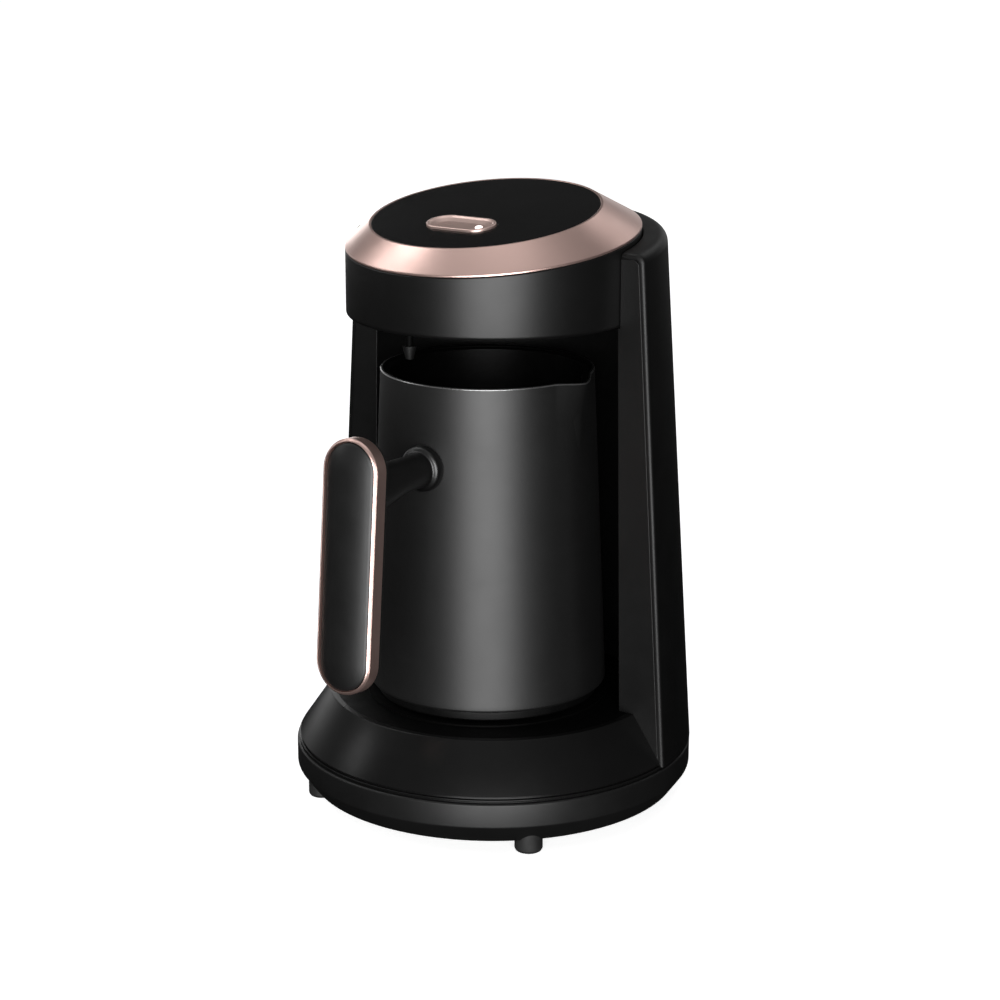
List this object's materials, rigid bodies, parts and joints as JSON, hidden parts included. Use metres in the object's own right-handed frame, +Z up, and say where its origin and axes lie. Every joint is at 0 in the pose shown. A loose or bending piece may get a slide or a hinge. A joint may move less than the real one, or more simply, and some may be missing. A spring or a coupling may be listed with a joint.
{
  "type": "electric Turkish coffee maker",
  "caption": "Upright automatic coffee maker for one pot: tapered pot with a long upright grip standing under a tilted round control head, held by a satin black half-round housing.",
  "frame": {"origin": "on the surface the machine stands on, under the middle of its bounding box; the round machine's own axis is 10.9 mm behind it", "axes": "+Z up, +X to the machine's right as a person faces it, -Y to the front, where the pot's grip points"},
  "size_m": [0.1642, 0.1903, 0.2501],
  "materials": {
    "base_satin": "satin black moulding",
    "foot_rubber": "matt black rubber",
    "screw_steel": "zinc plated screw",
    "shell_satin": "satin black moulding",
    "skirt_gloss": "semi-gloss black moulding",
    "floor_satin": "satin black moulding",
    "cover_satin": "satin black cover",
    "bush_rubber": "matt black rubber",
    "head_satin": "satin black moulding",
    "underside_black": "matt black plate",
    "rose_gold": "satin rose-gold anodised",
    "panel_gloss": "piano black panel",
    "light_pipe": "frosted clear light pipe",
    "spring_steel": "drawn spring wire",
    "carrier_black": "moulded carrier",
    "board_green": "green circuit board",
    "component_black": "moulded component",
    "component_blue": "blue component case",
    "component_white": "white nylon component",
    "connector_green": "green terminal block",
    "led_clear": "clear diode lens",
    "socket_ceramic": "heat resistant socket body",
    "contact_brass": "plated brass contact",
    "wire_black": "black cable sheath",
    "lead_silicone": "red silicone lead",
    "pot_satin": "satin black coating",
    "liner_coat": "black non-stick coated steel vessel",
    "heater_aluminium": "cast heater plate",
    "element_steel": "heat dulled tubular element",
    "cap_black": "satin black base cap",
    "seal_silicone": "grey silicone seal",
    "stem_satin": "satin black stem",
    "grip_core": "satin black grip back",
    "grip_inlay": "gloss black inlay"
  },
  "bodies": {
    "machine": {"base_screws": "screw_steel", "base_tray": "base_satin", "bezel_ring": "rose_gold", "button_carrier": "carrier_black", "button_spring": "spring_steel", "buzzer": "component_black", "capacitor": "component_black", "carrier_screws": "screw_steel", "cavity_floor": "floor_satin", "cavity_shell": "shell_satin", "collar_screws": "screw_steel", "control_pcb": "board_green", "cord_bush": "bush_rubber", "foam_sensor": "component_black", "front_skirt": "skirt_gloss", "head_casing": "head_satin", "head_plug": "component_white", "head_screws": "screw_steel", "head_underside": "underside_black", "microcontroller": "component_black", "pcb_screws": "screw_steel", "pot_leads": "lead_silicone", "pot_socket": "socket_ceramic", "power_pcb": "board_green", "power_pcb_screws": "screw_steel", "power_plug": "component_white", "rear_cover": "cover_satin", "rear_cover_screws": "screw_steel", "relay": "component_blue", "rubber_feet": "foot_rubber", "sensor_lead": "wire_black", "sensor_nozzle": "underside_black", "socket_contacts": "contact_brass", "status_led": "led_clear", "tact_switch": "component_black", "terminal_block": "connector_green", "top_panel": "panel_gloss", "transformer": "component_black", "wiring_harness": "wire_black"},
    "button": {"start_button": "rose_gold", "button_light_pipe": "light_pipe"},
    "switch_plunger": {"switch_plunger": "component_white"},
    "pot": {"pot_body": "pot_satin", "pot_liner": "liner_coat", "heating_plate": "heater_aluminium", "heating_element": "element_steel", "thermostat": "component_white", "thermal_fuse": "component_white", "pot_base_cap": "cap_black", "pot_seal": "seal_silicone", "pot_base_screws": "screw_steel", "pot_inlet": "cap_black", "inlet_pins": "contact_brass", "handle_stem": "stem_satin", "handle_bolt": "screw_steel", "handle_core": "grip_core", "handle_trim": "rose_gold", "handle_inlay": "grip_inlay", "grip_screws": "screw_steel"}
  },
  "joints": [
    {"name": "button_press", "type": "slide", "parent": "machine", "child": "button", "axis": [0, 0.1664, -0.9861], "range_m": [0, 0.0012], "stiffness_N_per_m": 900, "springref_m": -0.0006, "deforming": ["button_spring"]},
    {"name": "switch_press", "type": "slide", "parent": "machine", "child": "switch_plunger", "axis": [0, 0.1664, -0.9861], "range_m": [0, 0.0012]},
    {"name": "pot_withdraw", "type": "slide", "parent": "machine", "child": "pot", "axis": [0, -1, 0], "range_m": [0, 0.14]}
  ],
  "couplings": [
    {"joint": "switch_press", "follows": "button_press", "ratio": 1}
  ]
}
